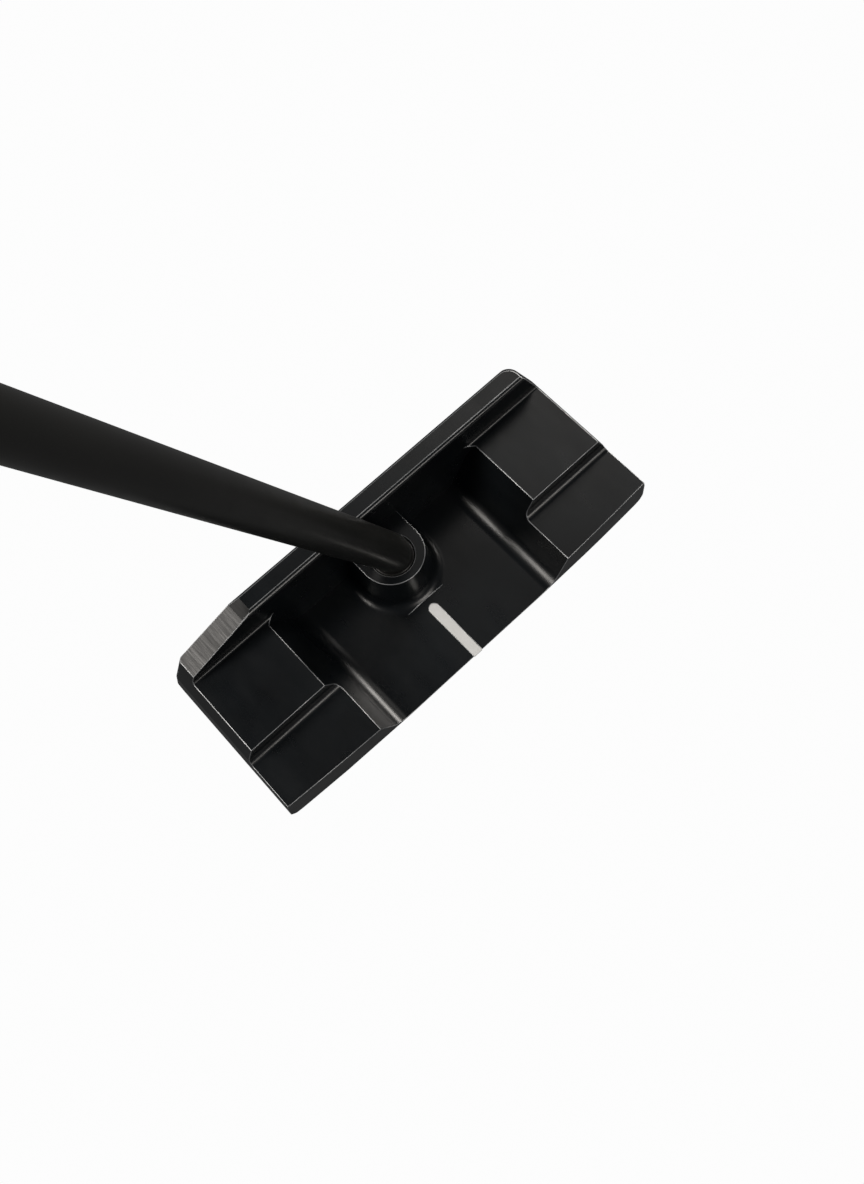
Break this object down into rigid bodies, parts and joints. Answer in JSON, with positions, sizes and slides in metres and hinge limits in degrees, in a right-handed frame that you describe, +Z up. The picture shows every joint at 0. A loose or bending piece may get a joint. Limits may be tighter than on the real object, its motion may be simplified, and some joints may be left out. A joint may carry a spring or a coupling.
{
  "type": "mallet putter",
  "caption": "Centre-shafted golf putter with a wide milled head, stepped pads, a white sight line, screw-in sole weights and a long rubber grip.",
  "frame": {"origin": "middle of the flat sole, on the ground, with the head square and the shaft at its lie angle", "axes": "-Y is the way the face looks, +X is the heel and -X the toe, +Z is up from the sole"},
  "size_m": [0.3672, 0.044, 0.8133],
  "materials": {
    "head_finish": "satin black hard coat over milled metal",
    "sight_paint": "white enamel paint fill",
    "bond": "cured epoxy",
    "plug": "matte",
    "shaft_finish": "satin black coating over steel tube",
    "tape": "paper-backed double-sided tape",
    "grip_rubber": "matte black rubber with fine texture",
    "cap_rubber": "matte black rubber",
    "washer_rubber": "matte black",
    "weight_steel": "turned and brushed"
  },
  "bodies": {
    "club": {"head_body": "head_finish", "sight_line_fill": "sight_paint", "shaft_bond": "bond", "tip_plug": "plug", "shaft": "shaft_finish", "grip_tape": "tape", "grip": "grip_rubber", "grip_cap": "cap_rubber"},
    "heel_carrier": {"heel_washer": "washer_rubber"},
    "heel_screw": {"heel_weight": "weight_steel"},
    "toe_carrier": {"toe_washer": "washer_rubber"},
    "toe_screw": {"toe_weight": "weight_steel"}
  },
  "joints": [
    {"name": "heel_weight_out", "type": "slide", "parent": "club", "child": "heel_carrier", "axis": [0, 0, -1], "range_m": [0, 0.008]},
    {"name": "heel_weight_turn", "type": "hinge", "parent": "heel_carrier", "child": "heel_screw", "pos_m": [0.038, -0.005, 0.0004], "axis": [0, 0, -1], "range_deg": [0, 2880]},
    {"name": "toe_weight_out", "type": "slide", "parent": "club", "child": "toe_carrier", "axis": [0, 0, -1], "range_m": [0, 0.008]},
    {"name": "toe_weight_turn", "type": "hinge", "parent": "toe_carrier", "child": "toe_screw", "pos_m": [-0.038, -0.005, 0.0004], "axis": [0, 0, -1], "range_deg": [0, 2880]}
  ],
  "couplings": [
    {"joint": "heel_weight_out", "follows": "heel_weight_turn", "m_per_rad": 0.00015915},
    {"joint": "toe_weight_out", "follows": "toe_weight_turn", "m_per_rad": 0.00015915}
  ]
}
